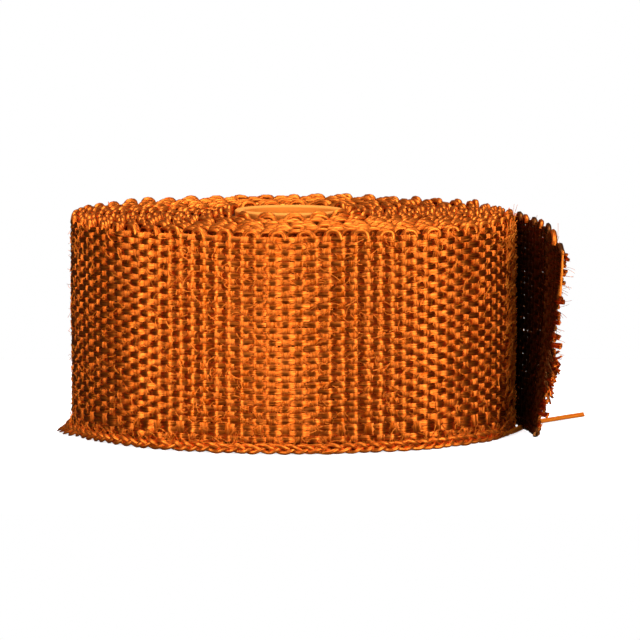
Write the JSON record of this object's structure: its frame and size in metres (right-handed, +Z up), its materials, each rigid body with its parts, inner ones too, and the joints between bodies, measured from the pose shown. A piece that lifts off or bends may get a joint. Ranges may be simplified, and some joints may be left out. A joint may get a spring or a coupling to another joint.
{
  "type": "exhaust heat wrap roll",
  "caption": "Roll of orange woven glass-fibre exhaust heat wrap on a short cardboard tube, standing on its end, with a frayed loose tail.",
  "frame": {"origin": "under the middle of the whole part's bounding box, on the surface that the roll stands on", "axes": "+Z up along the roll's axis, +X towards the side that the strip's free end leaves, -Y the front"},
  "size_m": [0.1124, 0.1038, 0.0518],
  "materials": {
    "woven_wrap": "orange glass-fibre plain weave with a silky sheen",
    "cardboard": "matt pale cardboard tube"
  },
  "bodies": {
    "root": {"wrap_roll": "woven_wrap", "core_tube": "cardboard"}
  },
  "joints": []
}
